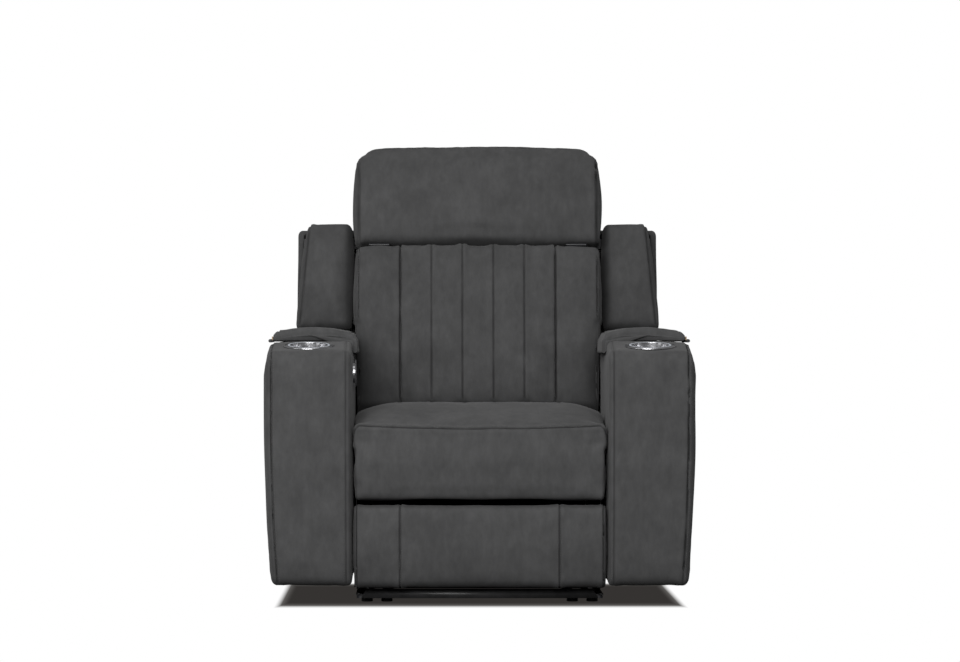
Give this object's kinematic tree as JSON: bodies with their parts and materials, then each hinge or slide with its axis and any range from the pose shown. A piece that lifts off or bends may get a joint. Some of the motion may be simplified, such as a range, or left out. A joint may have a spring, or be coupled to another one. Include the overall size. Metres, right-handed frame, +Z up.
{
  "type": "cinema recliner seat",
  "caption": "Upholstered powered recliner seat with channelled back, tilting headrest, fold-out footrest and storage arms with cup holders.",
  "frame": {"origin": "on the floor, under the middle of the seat's box", "axes": "+X to the viewer's right as the seat faces the viewer, the seat faces -Y, +Z up"},
  "size_m": [1, 0.9134, 1.0731],
  "materials": {
    "upholstery": "matte",
    "frame_steel": "satin",
    "link_steel": "satin",
    "bright_steel": "satin",
    "black_plastic": "matte",
    "light_ring": "satin",
    "board": "matte"
  },
  "bodies": {
    "base": {"base_plate_front": "frame_steel", "base_plate_rear": "frame_steel", "base_rail_left": "frame_steel", "base_rail_right": "frame_steel", "base_feet": "black_plastic", "glide_rod": "bright_steel"},
    "carriage": {"glide_motor": "black_plastic", "slide_blocks": "black_plastic", "side_plate_left": "frame_steel", "side_plate_right": "frame_steel", "cross_rail_front": "frame_steel", "cross_rail_rear": "frame_steel", "cross_tube_low": "frame_steel", "pivot_pins": "bright_steel", "seat_springs": "bright_steel", "seat_cushion": "upholstery", "arm_left": "upholstery", "arm_right": "upholstery", "storage_bin_left": "black_plastic", "storage_bin_right": "black_plastic", "cup_holder_left": "bright_steel", "cup_holder_right": "bright_steel", "cup_light_left": "light_ring", "cup_light_right": "light_ring", "lid_hinge_left": "bright_steel", "lid_hinge_right": "bright_steel", "control_ring": "bright_steel", "footrest_motor": "black_plastic", "recline_motor": "black_plastic", "power_box": "black_plastic", "power_inlet": "black_plastic"},
    "lid_left": {"lid_leaf_left": "bright_steel", "lid_board_left": "board", "lid_pad_left": "upholstery", "lid_lip_left": "upholstery"},
    "lid_right": {"lid_leaf_right": "bright_steel", "lid_board_right": "board", "lid_pad_right": "upholstery", "lid_lip_right": "upholstery"},
    "button_open": {"button_open": "black_plastic"},
    "button_close": {"button_close": "black_plastic"},
    "rear_links": {"rear_links": "link_steel"},
    "control_link_left": {"control_link_left": "link_steel"},
    "control_link_right": {"control_link_right": "link_steel"},
    "front_links": {"front_links": "link_steel"},
    "outer_link_left": {"outer_link_left": "link_steel"},
    "outer_link_right": {"outer_link_right": "link_steel"},
    "footrest": {"footrest_brackets": "link_steel", "footrest_board": "board", "footrest_cushion": "upholstery"},
    "back": {"recline_shaft": "bright_steel", "back_frame": "frame_steel", "back_shell": "upholstery", "back_cushion": "upholstery", "wing_left": "upholstery", "wing_right": "upholstery", "headrest_hinge": "bright_steel"},
    "headrest": {"headrest_plate": "frame_steel", "headrest_pad": "upholstery"}
  },
  "joints": [
    {"name": "seat_glide", "type": "slide", "parent": "base", "child": "carriage", "axis": [0, -1, 0], "range_m": [0, 0.1]},
    {"name": "back_recline", "type": "hinge", "parent": "carriage", "child": "back", "pos_m": [0, 0.1733, 0.3], "axis": [-1, 0, 0], "range_deg": [0, 38]},
    {"name": "headrest_tilt", "type": "hinge", "parent": "back", "child": "headrest", "pos_m": [0, 0.18412, 0.83803], "axis": [1, 0, 0], "range_deg": [0, 30]},
    {"name": "footrest_extend", "type": "hinge", "parent": "carriage", "child": "rear_links", "pos_m": [0, -0.2767, 0.29], "axis": [-1, 0, 0], "range_deg": [0, 90]},
    {"name": "control_link_swing_left", "type": "hinge", "parent": "carriage", "child": "control_link_left", "pos_m": [-0.25, -0.21875, 0.27447], "axis": [-1, 0, 0], "range_deg": [0, 90]},
    {"name": "control_link_swing_right", "type": "hinge", "parent": "carriage", "child": "control_link_right", "pos_m": [0.25, -0.21875, 0.27447], "axis": [-1, 0, 0], "range_deg": [0, 90]},
    {"name": "front_link_fold", "type": "hinge", "parent": "rear_links", "child": "front_links", "pos_m": [0, -0.1717, 0.10813], "axis": [-1, 0, 0], "range_deg": [-90, 0]},
    {"name": "outer_link_fold_left", "type": "hinge", "parent": "rear_links", "child": "outer_link_left", "pos_m": [-0.25, -0.16113, 0.07164], "axis": [-1, 0, 0], "range_deg": [-90, 0]},
    {"name": "outer_link_fold_right", "type": "hinge", "parent": "rear_links", "child": "outer_link_right", "pos_m": [0.25, -0.16113, 0.07164], "axis": [-1, 0, 0], "range_deg": [-90, 0]},
    {"name": "footrest_turn", "type": "hinge", "parent": "front_links", "child": "footrest", "pos_m": [0, -0.3567, 0.21], "axis": [-1, 0, 0], "range_deg": [0, 90]},
    {"name": "lid_open_left", "type": "hinge", "parent": "carriage", "child": "lid_left", "pos_m": [-0.4905, -0.2847, 0.607], "axis": [0, -1, 0], "range_deg": [0, 95]},
    {"name": "lid_open_right", "type": "hinge", "parent": "carriage", "child": "lid_right", "pos_m": [0.4905, -0.2847, 0.607], "axis": [0, 1, 0], "range_deg": [0, 95]},
    {"name": "button_open_press", "type": "slide", "parent": "carriage", "child": "button_open", "axis": [-1, 0, 0], "range_m": [0, 0.002], "stiffness_N_per_m": 600, "springref_m": -0.001},
    {"name": "button_close_press", "type": "slide", "parent": "carriage", "child": "button_close", "axis": [-1, 0, 0], "range_m": [0, 0.002], "stiffness_N_per_m": 600, "springref_m": -0.001}
  ],
  "couplings": [
    {"joint": "seat_glide", "follows": "back_recline", "m_per_rad": 0.15077},
    {"joint": "control_link_swing_left", "follows": "footrest_extend", "ratio": 1},
    {"joint": "control_link_swing_right", "follows": "footrest_extend", "ratio": 1},
    {"joint": "front_link_fold", "follows": "footrest_extend", "ratio": -1},
    {"joint": "outer_link_fold_left", "follows": "footrest_extend", "ratio": -1},
    {"joint": "outer_link_fold_right", "follows": "footrest_extend", "ratio": -1},
    {"joint": "footrest_turn", "follows": "footrest_extend", "ratio": 1}
  ]
}
